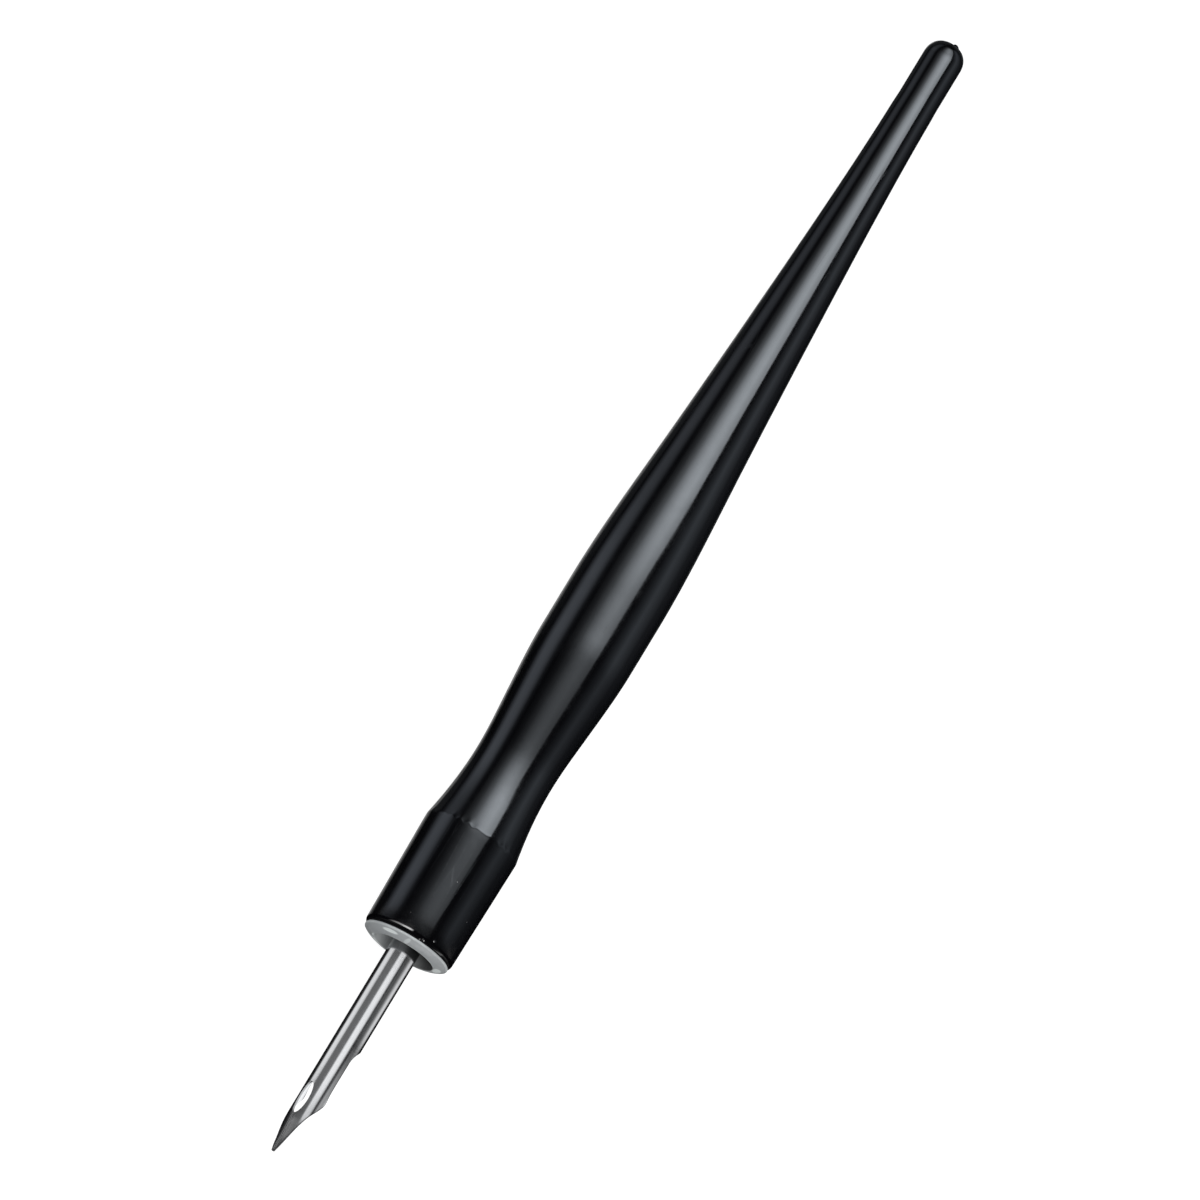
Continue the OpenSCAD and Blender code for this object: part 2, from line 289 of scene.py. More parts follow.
# ---------------------------------------------------------------- collar
def make_collar():
    a, b, fr, br = rim_at, mouth_at, flange_d / 2, bore_d / 2
    seat_r = seat_d / 2
    sleeve_l, pocket_at, pocket_r, sleeve_r = 12.15, rim_at + 8, seat_r - 0.4, seat_r - 0.1
    prof = [(pocket_at + 0.0, pocket_r), (pocket_at, br + 0.12), (pocket_at - 0.03, br + 0.03), (pocket_at - 0.12, br)]
    prof += [(a + x, br) for x in (7, 6, 5, 4, 3.2, 2.6, 2.1, 1.7, 1.4, 1.1, 0.8, 0.55, 0.35, 0.2)]
    prof += [(a + 0.1 + x, br + 0.1 + y) for x, y in arc(0, 0, 0.1, 270, 190, 8)]
    for k in range(0, 25):
        q = k / 24
        prof.append((a + 0.012 + (flange_h - flange_rim - 0.03) * q - 0.07 * math.sin(math.pi * q), br + 0.16 + (fr - br - 0.19) * q + 0.05 * math.sin(math.pi * q)))
    prof += [(b - flange_rim + 0.0, fr - 0.02), (b - flange_rim + 0.03, fr - 0.004), (b - flange_rim + 0.07, fr), (b - 0.07, fr), (b - 0.03, fr - 0.006), (b - 0.008, fr - 0.025), (b, fr - 0.06)]
    prof += [(b, 4.6), (b, sleeve_r + 0.06), (b + 0.06, sleeve_r), (b + 4, sleeve_r), (b + 8, sleeve_r), (b + sleeve_l - 0.5, sleeve_r), (b + sleeve_l - 0.04, sleeve_r - 0.19), (b + sleeve_l, pocket_r + 0.06), (b + sleeve_l - 0.04, pocket_r), (b + sleeve_l - 2, pocket_r), (pocket_at + 2, pocket_r), (pocket_at + 0.0, pocket_r)]
    prof = prof[:-1]
    wob, fine = waves(21, 7, 0.6, 2.0), waves(22, 8, 4.0, 12.0)

    def bend(d, r, phi):
        x = np.radians(phi)
        free = np.where(d < b - 0.02, 1.0, 0.0)
        d2 = d + free * (0.006 * wob(2 * x, 2 * r) + 0.0022 * fine(2.0 * x, 3 * r))
        r2 = r + free * 0.004 * wob(3 * x, d)
        # the gate mark: a shallow flattened oval in the bevel
        off = ((phi - GATE_MARK[0] + 180) % 360 - 180) * math.pi / 180 * r
        w = (off / GATE_MARK[1]) ** 2 + ((r - GATE_MARK[2]) / GATE_MARK[3]) ** 2
        dip = np.clip(1 - w, 0, 1)
        d2 = d2 + free * GATE_MARK[4] * np.sqrt(dip)
        # a raised streak across the bevel
        off = ((phi - STREAK[0] + 180) % 360 - 180) * math.pi / 180 * r
        d2 = d2 - free * STREAK[1] * np.exp(-((off / STREAK[2]) ** 2)) * np.clip((4.9 - r) / 0.2, 0, 1) * np.clip((r - 3.6) / 0.1, 0, 1)
        return d2, r2

    phis = np.arange(-180, 180, 360 / 240)
    verts, faces, n = [], [], len(phis)
    for d, r in prof:
        dd, rr = bend(np.full(n, d), np.full(n, r), phis)
        verts.extend(on_axis(dd, rr, phis))
    rings = len(prof)
    for i in range(rings):
        for k in range(n):
            j, i2 = (k + 1) % n, (i + 1) % rings
            faces.append((i * n + k, i * n + j, i2 * n + j, i2 * n + k))
    return outward(new_mesh("collar_ring", verts, faces))


GATE_MARK = (22.5, 1.08, 4.49, 0.24, 0.035)  # angle round the axis, half length, radius, half width, depth
STREAK = (-5.0, 0.012, 0.16)  # angle, height, width


# ---------------------------------------------------------------- nib
q_ = point_l / 7
edge_stations = [
    (0.2 * q_, 8, 14 / q_),
    (1.95 * q_, point_deg, 10.8 / q_),
    (3.85 * q_, 47.5, 12.5 / q_),
    (5.15 * q_, 65, 16.5 / q_),
    (6.4 * q_, 88, 17 / q_),
    (7 * q_, trough_deg + 4.5, 3 / q_),
    (8.2 * q_, trough_deg + 0.5, -1.5 / q_),
    (trough_l - trough_r, trough_deg, 0),
]


def make_nib():
    R, t = tube_d / 2, sheet_t
    Ri = R - t
    seam_deg = math.degrees(seam_w / 2 / R)
    full = 180 - seam_deg
    slit_deg = math.degrees(slit_w / 2 / R)
    v0, v1 = vent_at - vent_l / 2, vent_at + vent_l / 2

    # stations: distance from the tip and the angle of the sheet's outer edge
    st = [(0.0, 3.4), (0.012, 4.8), (0.04, 6.1), (0.10, 7.3)]
    x = 0.2
    xs = []
    while x < trough_l - trough_r - 0.05:
        xs.append(x)
        x += 0.16 if x < 3 else 0.2
    # closer stations at the ends of the vent
    xs = [x for x in xs if abs(x - v0) > 0.36 and abs(x - v1) > 0.36]
    for k in range(0, 8):
        s = 0.34 * (k / 7) ** 2
        xs += [v0 + s, v1 - s]
    xs += [v0 - 0.17, v0 - 0.34, v1 + 0.02, v1 + 0.06, v1 + 0.14, v1 + 0.28]
    xs = sorted(set(round(x, 5) for x in xs))
    st += [(x, stations_at(edge_stations, x)) for x in xs]
    for k in range(0, 21):
        a = 4.5 * k
        st.append((trough_l - trough_r + trough_r * math.sin(math.radians(a)), min(full, trough_deg + math.degrees(trough_r * (1 - math.cos(math.radians(a))) / R))))
    last = st[-1][0]
    st += [(last + 0.012, min(full, st[-1][1] + 14)), (last + 0.03, full)]
    st += [(last + 0.1, full), (last + 0.25, full)]
    x = last + 0.6
    while x < nib_l - 0.4:
        st.append((x, full))
        x += 0.45
    st += [(nib_l - 0.2, full), (nib_l - 0.05, full), (nib_l, full)]
    st = [s for i, s in enumerate(st) if i == 0 or s[0] - st[i - 1][0] > 0.004]

    def inner_edge(x):
        if x >= v1 - 1e-6:
            return None
        ell = 0.0
        if x > v0:
            ell = vent_w / 2 * math.sqrt(max(0.0, 1 - ((x - vent_at) / (vent_l / 2)) ** 2))
        ell = math.degrees(math.asin(min(1.0, ell / R)))
        return max(slit_deg, ell)

    NC, RHO, RHO_S = 34, 0.028, 0.045  # columns in each half, and the rounding of the sheet's edges and of the slit's
    SLANT = 20.0  # the vent's cut leans, wider outside
    verts, norms, faces, rims = [], [], [], []
    tip_in, tip_a, tip_b = 0.265, 1.2, 4.9  # the point stands a little inwards of the tube, by tip_in

    def put(x, r, ang, nr=None, na=0.0, rim=0.0):
        """A point of the sheet; nr and na are the normal's parts along the radius and round the axis, or None to work
        it out later.
        rim is 1 on a cut edge and falls to 0 a little way in, and it is below 0 beside the slit, where the material
        paints a highlight line."""
        rims.append(rim)
        a = math.radians(ang)
        h = min(1.0, max(0.0, (x - tip_a) / (tip_b - tip_a)))
        bend = -tip_in * (1 - h * h * (3 - 2 * h))
        slope = tip_in * 6 * h * (1 - h) / (tip_b - tip_a)
        verts.append((x + 0.10 * max(0.0, 1 - x / nib_out), r * math.sin(a), r * math.cos(a) + bend))
        if nr is None:
            norms.append(None)
        else:
            v = Vector((0.0, nr * math.sin(a) + na * math.cos(a), nr * math.cos(a) - na * math.sin(a)))
            v.x = -slope * v.z
            norms.append(v.normalized())
        return len(verts) - 1

    rows = []
    for x, ao in st:
        ai = inner_edge(x)
        row = {}
        open_ = ai is not None
        for side in (-1, 1):
            lo = 0.0 if not open_ else ai
            rho_o = math.degrees(RHO / R)
            # keep the rounding from eating a narrow strip near the tip
            width = ao - lo
            ro = min(rho_o, width * 0.22)
            k_o = ro / rho_o
            outer, inner = [], []
            rs = min(math.degrees(RHO_S / R), width * 0.3)
            lean = min(math.degrees(t * math.tan(math.radians(SLANT)) / R), lo - slit_deg) if open_ else 0.0
            a0 = lo + (rs if open_ else 0.0)
            a0i = a0 - lean
            a1 = ao - ro
            # the strip's columns gather a little at both edges
            for j in range(NC + 1):
                u = j / NC
                ang, ang_i = a0 + (a1 - a0) * u, a0i + (a1 - a0i) * u
                near = min(math.radians(ao - ang) * R, x + 0.01)
                rim = max(0.0, 1.0 - near / 0.20) if x < trough_l - trough_r else 0.0
                # within 0.14 mm of the slit, rim is -1: the strip that gets a painted highlight line
                if x < v0 and rim < 0.2 and math.radians(ang) * R < 0.14:
                    rim = -1.0
                if j == 0 and not open_:
                    if side == -1:
                        outer.append(put(x, R, 0.0, 1.0))
                        inner.append(put(x, Ri, 0.0, -1.0))
                        row["centre"] = (outer[0], inner[0])
                    else:
                        outer.append(row["centre"][0])
                        inner.append(row["centre"][1])
                    continue
                outer.append(put(x, R, side * ang, 1.0, 0.0, rim))
                inner.append(put(x, Ri, side * ang_i, -1.0))

            def wall(at, sgn, rr, shift=0.0, rim=1.0):
                """Rounded, cut edge between the outer and the inner surface; sgn is the side that it faces round the axis.
                The inner end of the cut stands `shift` degrees further out on that side."""
                out = []
                lean_n = math.atan2(math.radians(shift) * R, t)
                for c in (30, 60, 90):
                    b, bn = math.radians(c), math.radians(c) * (1 - lean_n / (math.pi / 2))
                    ang = at - sgn * math.degrees(rr * (1 - math.sin(b)) / R)
                    out.append(put(x, R - rr * (1 - math.cos(b)), side * ang, math.cos(bn), side * sgn * math.sin(bn), rim))
                out.append(put(x, (R + Ri) / 2, side * (at + sgn * shift / 2), math.sin(lean_n), side * sgn * math.cos(lean_n), rim))
                for c in (90, 60, 30):
                    b = math.radians(c)
                    bn = math.pi - b - (lean_n * c / 90)
                    ang = at + sgn * shift - sgn * math.degrees(rr * (1 - math.sin(b)) / Ri)
                    out.append(put(x, Ri + rr * (1 - math.cos(b)), side * ang, math.cos(bn), side * sgn * math.sin(bn), rim))
                return out

            row[side] = {"outer": outer, "inner": inner, "edge": wall(ao, 1.0, RHO * k_o), "vent": wall(lo, -1.0, math.radians(rs) * R, lean, 0.3) if open_ else None}
        row["open"] = open_
        rows.append(row)

    def quad(a, b, c, d, flip):
        f = [a, b, c, d]
        g = []
        for v in f:
            if not g or g[-1] != v:
                g.append(v)
        if g[0] == g[-1]:
            g.pop()
        if len(g) >= 3:
            faces.append(tuple(reversed(g)) if flip else tuple(g))

    for A, B in zip(rows, rows[1:]):
        for side in (-1, 1):
            a, b = A[side], B[side]
            fl = side == -1
            for j in range(NC):
                quad(a["outer"][j], b["outer"][j], b["outer"][j + 1], a["outer"][j + 1], fl)
                quad(a["inner"][j], a["inner"][j + 1], b["inner"][j + 1], b["inner"][j], fl)
            ea = [a["outer"][-1], *a["edge"], a["inner"][-1]]
            eb = [b["outer"][-1], *b["edge"], b["inner"][-1]]
            for k in range(len(ea) - 1):
                quad(ea[k], eb[k], eb[k + 1], ea[k + 1], fl)
            if A["open"]:
                va = [a["outer"][0], *a["vent"], a["inner"][0]]
                if B["open"]:
                    vb = [b["outer"][0], *b["vent"], b["inner"][0]]
                else:
                    if "line" not in B:  # the vent's back end: one upright line that both halves share
                        o, i = B["centre"]
                        B["line"] = [o] + [put(st[rows.index(B)][0], R - t * (k + 1) / 8, 0.0, None) for k in range(7)] + [i]
                    vb = B["line"]
                for k in range(len(va) - 1):
                    quad(va[k + 1], vb[k + 1], vb[k], va[k], fl)
    # ends: the tip's two small faces, and the back of the tube
    for row, back in ((rows[0], False), (rows[-1], True)):
        for side in (-1, 1):
            s = row[side]
            fl = (side == -1) != back
            if row["open"]:
                ring_o = [s["outer"][0], *s["outer"][1:]]
                quad_o, quad_i = s["outer"], s["inner"]
                for j in range(NC):
                    quad(quad_o[j + 1], quad_i[j + 1], quad_i[j], quad_o[j], not fl)
                e = [s["outer"][-1], *s["edge"], s["inner"][-1]]
                v = [s["outer"][0], *s["vent"], s["inner"][0]]
                faces.append(tuple(e) if fl else tuple(reversed(e)))
                faces.append(tuple(reversed(v)) if fl else tuple(v))
            else:
                for j in range(NC):
                    quad(s["outer"][j + 1], s["inner"][j + 1], s["inner"][j], s["outer"][j], not fl)
                e = [s["outer"][-1], *s["edge"], s["inner"][-1]]
                faces.append(tuple(e) if fl else tuple(reversed(e)))

    # lay it on the axis, turned
    turn = math.radians(nib_turned)
    cy, sy = math.cos(turn), math.sin(turn)
    pts, nv = [], []
    for (x, y, z), n in zip(verts, norms):
        pts.append((TIP + x, y * cy + z * sy, axis_z - y * sy + z * cy))
        nv.append(None if n is None else Vector((n.x, n.y * cy + n.z * sy, -n.y * sy + n.z * cy)))
    ob = new_mesh("nib_steel_sheet", pts, faces)
    outward(ob)
    me = ob.data
    if len(me.vertices) == len(rims):
        me.attributes.new("rim", "FLOAT", "POINT").data.foreach_set("value", rims)
    if len(me.vertices) == len(nv):
        own = [v.normal.copy() for v in me.vertices]
        me.normals_split_custom_set_from_vertices([tuple(o if n is None else n) for o, n in zip(own, nv)])
    else:
        print("nib: points were merged, so the worked-out normals are used")
    return ob


# ---------------------------------------------------------------- materials
def material(name):
    m = bpy.data.materials.new(name)
    m.use_nodes = True
    nt = m.node_tree
    bsdf = nt.nodes["Principled BSDF"]
    return m, nt, bsdf


class Nodes:
    """Short ways to add nodes to a tree."""

    def __init__(self, nt):
        self.nt = nt
        self.coord = nt.nodes.new("ShaderNodeTexCoord").outputs["Object"]

    def link(self, a, b):
        self.nt.links.new(a, b)

    def math(self, op, a, b=None, c=None, clamp=False):
        n = self.nt.nodes.new("ShaderNodeMath")
        n.operation, n.use_clamp = op, clamp
        for i, v in enumerate((a, b, c)):
            if v is None:
                continue
            if isinstance(v, (int, float)):
                n.inputs[i].default_value = v
            else:
                self.link(v, n.inputs[i])
        return n.outputs[0]

    def mapped(self, scale=(1, 1, 1), loc=(0, 0, 0), rot=(0, 0, 0), vec=None):
        n = self.nt.nodes.new("ShaderNodeMapping")
        n.inputs["Scale"].default_value = scale
        n.inputs["Location"].default_value = loc
        n.inputs["Rotation"].default_value = rot
        self.link(vec if vec is not None else self.coord, n.inputs["Vector"])
        return n.outputs[0]

    def noise(self, vec, scale, detail=3.0, rough=0.5, distort=0.0):
        n = self.nt.nodes.new("ShaderNodeTexNoise")
        n.inputs["Scale"].default_value = scale
        n.inputs["Detail"].default_value = detail
        n.inputs["Roughness"].default_value = rough
        n.inputs["Distortion"].default_value = distort
        self.link(vec, n.inputs["Vector"])
        return n.outputs["Fac"]

    def voronoi(self, vec, scale, feature="F1", randomness=1.0):
        n = self.nt.nodes.new("ShaderNodeTexVoronoi")
        n.feature = feature
        n.inputs["Scale"].default_value = scale
        n.inputs["Randomness"].default_value = randomness
        self.link(vec, n.inputs["Vector"])
        return n.outputs["Distance"]

    def remap(self, v, a, b, c, d, clamp=True):
        n = self.nt.nodes.new("ShaderNodeMapRange")
        n.clamp = clamp
        self.link(v, n.inputs["Value"])
        for k, x in zip(("From Min", "From Max", "To Min", "To Max"), (a, b, c, d)):
            n.inputs[k].default_value = x
        return n.outputs["Result"]

    def smooth(self, v, a, b):
        n = self.nt.nodes.new("ShaderNodeMapRange")
        n.interpolation_type = "SMOOTHSTEP"
        self.link(v, n.inputs["Value"])
        for k, x in zip(("From Min", "From Max", "To Min", "To Max"), (a, b, 0.0, 1.0)):
            n.inputs[k].default_value = x
        return n.outputs["Result"]

    def mix(self, fac, a, b):
        n = self.nt.nodes.new("ShaderNodeMix")
        n.data_type = "RGBA"
        self.link(fac, n.inputs["Factor"])
        for key, v in (("A", a), ("B", b)):
            s = [i for i in n.inputs if i.name == key and i.type == "RGBA"][0]
            if isinstance(v, tuple):
                s.default_value = (*v, 1.0)
            else:
                self.link(v, s)
        return [o for o in n.outputs if o.type == "RGBA"][0]

    def bump(self, height, strength, distance, under=None):
        n = self.nt.nodes.new("ShaderNodeBump")
        n.inputs["Strength"].default_value = strength
        n.inputs["Distance"].default_value = distance
        self.link(height, n.inputs["Height"])
        if under is not None:
            self.link(under, n.inputs["Normal"])
        return n.outputs["Normal"]

    def split(self, vec=None):
        n = self.nt.nodes.new("ShaderNodeSeparateXYZ")
        self.link(vec if vec is not None else self.coord, n.inputs[0])
        return n.outputs["X"], n.outputs["Y"], n.outputs["Z"]

    def join(self, x, y, z):
        n = self.nt.nodes.new("ShaderNodeCombineXYZ")
        for i, v in enumerate((x, y, z)):
            if isinstance(v, (int, float)):
                n.inputs[i].default_value = v
            else:
                self.link(v, n.inputs[i])
        return n.outputs[0]

    def around(self):
        """Distance along the pen, angle round its axis (radians) and distance from its axis, in metres."""
        x, y, z = self.split()
        z = self.math("SUBTRACT", z, axis_z * MM)
        ang = self.math("ARCTAN2", y, z)
        rad = self.math("SQRT", self.math("ADD", self.math("MULTIPLY", y, y), self.math("MULTIPLY", z, z)))
        return x, ang, rad


def handle_material():
    m, nt, bsdf = material("black_gloss_plastic")
    n = Nodes(nt)
    x, ang, rad = n.around()
    cloud = n.noise(n.coord, 90.0, 4, 0.6)
    fine = n.noise(n.coord, 1400.0, 3, 0.6)
    skin = n.mix(cloud, (0.0009, 0.0009, 0.0012), (0.0022, 0.0022, 0.0029))
    # the plastic is whitened where the edge is chipped, and a little along the crease
    chips = None
    for ps, pp, size, deep in NICKS:
        dx = n.math("DIVIDE", n.math("SUBTRACT", x, (TIP + mouth_at + ps) * MM), size * 0.85 * MM)
        da = n.math("DIVIDE", n.math("MULTIPLY", n.math("SUBTRACT", ang, math.radians(pp)), 4.95), size * 0.85)
        one = n.math("SUBTRACT", 1.0, n.smooth(n.math("ADD", n.math("MULTIPLY", dx, dx), n.math("MULTIPLY", da, da)), 0.3, 1.0))
        chips = one if chips is None else n.math("MAXIMUM", chips, one)
    crumbs = n.noise(n.coord, 5200.0, 4, 0.7)
    chips = n.math("MULTIPLY", chips, n.smooth(crumbs, 0.42, 0.62))
    off = n.math("DIVIDE", n.math("SUBTRACT", x, (TIP + mouth_at + head_l + 0.24) * MM), 0.00022)
    crease = n.math("MULTIPLY", n.math("SUBTRACT", 1.0, n.smooth(n.math("MULTIPLY", off, off), 0.1, 1.0)), n.smooth(n.noise(n.join(n.math("MULTIPLY", x, 300.0), n.math("MULTIPLY", ang, 7.0), 0.0), 1.0, 4, 0.75), 0.55, 0.7))
    skin = n.mix(n.math("MULTIPLY", crease, 0.5), skin, (0.012, 0.012, 0.013))
    n.link(n.mix(chips, skin, (0.34, 0.34, 0.33)), bsdf.inputs["Base Color"])
    # handling marks: hair scratches, mostly along the pen, and duller skin on the grip
    hair = n.voronoi(n.mapped((55.0, 900.0, 900.0), rot=(0.0, 0.03, 0.05)), 1.0, "DISTANCE_TO_EDGE")
    hair_mask = n.math("MULTIPLY", n.math("LESS_THAN", hair, 0.012), n.smooth(n.noise(n.coord, 160.0, 2), 0.52, 0.7))
    grip = n.math("MULTIPLY", n.smooth(x, -0.034, -0.024), n.math("SUBTRACT", 1.0, n.smooth(x, 0.004, 0.03)))
    rough = n.math("ADD", n.remap(cloud, 0.3, 0.7, 0.085, 0.12), n.remap(fine, 0.3, 0.7, 0.0, 0.03))
    rough = n.math("ADD", rough, n.math("MULTIPLY", grip, n.remap(n.noise(n.coord, 350.0, 4, 0.65), 0.45, 0.75, 0.0, 0.06)))
    rough = n.math("ADD", rough, n.math("MULTIPLY", hair_mask, 0.12))
    rough = n.math("ADD", rough, n.math("MULTIPLY", n.math("MAXIMUM", chips, n.math("MULTIPLY", crease, 0.5)), 0.3))
    n.link(rough, bsdf.inputs["Roughness"])
    b = n.bump(n.noise(n.coord, 420.0, 3, 0.55), 0.12, 0.00004)
    b = n.bump(fine, 0.10, 0.000012, b)
    b = n.bump(hair_mask, 0.25, 0.000006, b)
    n.link(b, bsdf.inputs["Normal"])
    bsdf.inputs["IOR"].default_value = 1.5
    return m


def collar_material():
    m, nt, bsdf = material("grey_satin_plastic")
    n = Nodes(nt)
    x, ang, rad = n.around()
    cloud = n.noise(n.coord, 420.0, 4, 0.6)
    fine = n.noise(n.coord, 5200.0, 2, 0.5)
    # faint flow lines that run out from the bore
    flow = n.noise(n.join(n.math("MULTIPLY", ang, 9.0), n.math("MULTIPLY", rad, 500.0), n.math("MULTIPLY", x, 500.0)), 1.0, 4, 0.6)
    tone = n.math("ADD", n.math("MULTIPLY", cloud, 0.5), n.math("MULTIPLY", flow, 0.5))
    body = n.mix(n.remap(tone, 0.3, 0.7, 0.0, 1.0), (0.236, 0.248, 0.254), (0.287, 0.299, 0.304))

    def patch(phi, r, half_round, half_out, lean=0.0):
        """Soft oval on the bevel, at an angle round the axis and a radius; lean turns it."""
        du = n.math("MULTIPLY", n.math("SUBTRACT", ang, math.radians(phi)), r)
        dv = n.math("SUBTRACT", n.math("MULTIPLY", rad, 1000.0), r)
        cu, su = math.cos(math.radians(lean)), math.sin(math.radians(lean))
        u = n.math("ADD", n.math("MULTIPLY", du, cu), n.math("MULTIPLY", dv, su))
        v = n.math("SUBTRACT", n.math("MULTIPLY", dv, cu), n.math("MULTIPLY", du, su))
        u, v = n.math("DIVIDE", u, half_round), n.math("DIVIDE", v, half_out)
        return n.math("SUBTRACT", 1.0, n.smooth(n.math("ADD", n.math("MULTIPLY", u, u), n.math("MULTIPLY", v, v)), 0.45, 1.1))

    front = n.math("LESS_THAN", x, (TIP + rim_at + 0.7) * MM)
    # painted highlights: pale ovals over the gate mark's dip and along the raised streak, where the bevel's specular
    # highlights fall; the dip and the streak themselves are real shape
    pale = n.math("MAXIMUM", patch(GATE_MARK[0], GATE_MARK[2], GATE_MARK[1], GATE_MARK[3]), n.math("MULTIPLY", patch(STREAK[0], 4.15, 0.27, 0.72, 18.0), 0.55))
    # a painted highlight at the bore's lower edge
    pale = n.math("MAXIMUM", pale, patch(-101.0, 4.0, 1.15, 0.5))
    # painted highlights along the flange's outer edge and the bore's rim
    painted_edge_highlight = n.math("MAXIMUM", n.math("MULTIPLY", n.smooth(rad, 0.00480, 0.00490), 0.55), n.math("MULTIPLY", n.math("SUBTRACT", 1.0, n.smooth(rad, 0.00364, 0.00372)), 0.45))
    pale = n.math("MAXIMUM", pale, n.math("MULTIPLY", painted_edge_highlight, n.remap(cloud, 0.35, 0.65, 0.4, 1.0)))
    # painted highlights: a line along the flange's upper-left outer edge and a spot on the bore's upper-left rim
    pale = n.math("MAXIMUM", pale, n.math("MAXIMUM", n.math("MULTIPLY", patch(116.0, 4.2, 1.45, 0.95), 1.0), n.math("MULTIPLY", patch(84.0, 3.66, 0.60, 0.13), 0.9)))
    pale = n.math("MULTIPLY", pale, front)
    # the pale colour here is painted highlight
    body = n.mix(pale, body, (0.52, 0.55, 0.545))
    # painted light and shade in the bore: its wall is painted a lighter grey, then darkened to near black towards -Y
    # and further in, as shade falls in the recess
    bore = n.math("SUBTRACT", 1.0, n.smooth(rad, 0.00352, 0.00358))
    body = n.mix(bore, body, (0.42, 0.435, 0.44))
    # painted shade grows towards -Y (side) and with depth into the bore (deep)
    side = n.math("SUBTRACT", 1.0, n.smooth(n.split()[1], -0.0030, 0.0016))
    deep = n.smooth(x, (TIP + rim_at) * MM, (TIP + rim_at + 2.2) * MM)
    dark = n.math("ADD", n.math("MULTIPLY", side, 0.80), n.math("ADD", 0.10, n.math("MULTIPLY", deep, 0.26)), clamp=True)
    dark = n.math("MULTIPLY", dark, n.remap(flow, 0.3, 0.7, 0.92, 1.0))
    # the painted shade darkens the bore's colour here
    n.link(n.mix(n.math("MULTIPLY", bore, dark), body, (0.022, 0.022, 0.021)), bsdf.inputs["Base Color"])
    n.link(n.math("ADD", n.remap(cloud, 0.3, 0.7, 0.27, 0.36), n.remap(fine, 0.3, 0.7, 0.0, 0.05)), bsdf.inputs["Roughness"])
    b = n.bump(cloud, 0.25, 0.00004)
    b = n.bump(fine, 0.15, 0.00001, b)
    n.link(b, bsdf.inputs["Normal"])
    bsdf.inputs["IOR"].default_value = 1.5
    return m


def socket_material():
    m, nt, bsdf = material("dark_socket_plastic")
    n = Nodes(nt)
    cloud = n.noise(n.coord, 500.0, 4, 0.6)
    fine = n.noise(n.coord, 4800.0, 2, 0.5)
    n.link(n.mix(cloud, (0.045, 0.047, 0.05), (0.085, 0.088, 0.093)), bsdf.inputs["Base Color"])
    n.link(n.math("ADD", n.remap(cloud, 0.3, 0.7, 0.38, 0.5), n.remap(fine, 0.3, 0.7, 0.0, 0.06)), bsdf.inputs["Roughness"])
    b = n.bump(cloud, 0.3, 0.00005)
    b = n.bump(fine, 0.2, 0.00001, b)
    n.link(b, bsdf.inputs["Normal"])
    bsdf.inputs["IOR"].default_value = 1.5
    return m


def nib_material():
    m, nt, bsdf = material("polished_nib_steel")
    n = Nodes(nt)
    x, ang, rad = n.around()
    along = n.math("SUBTRACT", x, TIP * MM)  # metres from the tip
    cloud = n.noise(n.coord, 700.0, 4, 0.6)
    # rolling marks run round the tube and barely break the reflections up
    rings = n.noise(n.mapped((9000.0, 350.0, 350.0)), 1.0, 3, 0.6)
    drawn = n.noise(n.join(n.math("MULTIPLY", x, 120.0), n.math("MULTIPLY", ang, 26.0), 0.0), 1.0, 3, 0.6)
    # the point is ground: dull, darker, with marks across it
    uneven = n.math("MULTIPLY", n.math("SUBTRACT", n.noise(n.coord, 900.0, 3, 0.6), 0.5), 0.0009)
    point = n.math("SUBTRACT", 1.0, n.smooth(n.math("ADD", along, uneven), 0.0034, 0.0050))
    grind = n.noise(n.mapped((900.0, 6500.0, 6500.0), rot=(0.0, 0.1, 0.12)), 1.0, 4, 0.65)
    tint = n.mix(n.remap(drawn, 0.3, 0.7, 0.0, 1.0), (0.53, 0.54, 0.555), (0.62, 0.625, 0.635))
    dull = n.mix(n.remap(grind, 0.3, 0.7, 0.0, 1.0), (0.325, 0.325, 0.33), (0.40, 0.40, 0.405))
    # the outer surface is darkened near the sheet's cut edges
    at = nt.nodes.new("ShaderNodeAttribute")
    at.attribute_type, at.attribute_name = "GEOMETRY", "rim"
    rim = n.math("MULTIPLY", n.smooth(at.outputs["Fac"], 0.0, 0.75), n.remap(grind, 0.3, 0.7, 0.75, 0.95))
    # painted highlight: paler metal in a line beside the slit
    beside = n.math("MULTIPLY", n.math("SUBTRACT", 1.0, n.smooth(at.outputs["Fac"], -0.9, -0.1)), n.remap(grind, 0.35, 0.65, 0.7, 1.0))
    metal = n.mix(beside, n.mix(point, tint, dull), (0.90, 0.905, 0.91))
    n.link(n.mix(rim, metal, (0.035, 0.035, 0.038)), bsdf.inputs["Base Color"])
    shiny = n.math("ADD", n.remap(cloud, 0.3, 0.7, 0.10, 0.15), n.remap(rings, 0.35, 0.75, 0.0, 0.05))
    rough = n.math("ADD", n.math("MULTIPLY", shiny, n.math("SUBTRACT", 1.0, point)), n.math("MULTIPLY", point, n.remap(grind, 0.3, 0.7, 0.20, 0.30)))
    n.link(rough, bsdf.inputs["Roughness"])
    b = n.bump(rings, 0.12, 0.000006)
    b = n.bump(drawn, 0.08, 0.00001, b)
    b = n.bump(n.math("MULTIPLY", grind, point), 0.06, 0.000008, b)
    n.link(b, bsdf.inputs["Normal"])
    bsdf.inputs["Metallic"].default_value = 1.0
    return m


# ---------------------------------------------------------------- pieces
handle = make_handle()
gate = make_gate()
collar = make_collar()
nib = make_nib()

mat_handle, mat_collar, mat_socket, mat_nib = handle_material(), collar_material(), socket_material(), nib_material()
for ob, mat in ((handle, mat_handle), (gate, mat_handle), (collar, mat_collar), (nib, mat_nib)):
    ob.data.materials.append(mat)

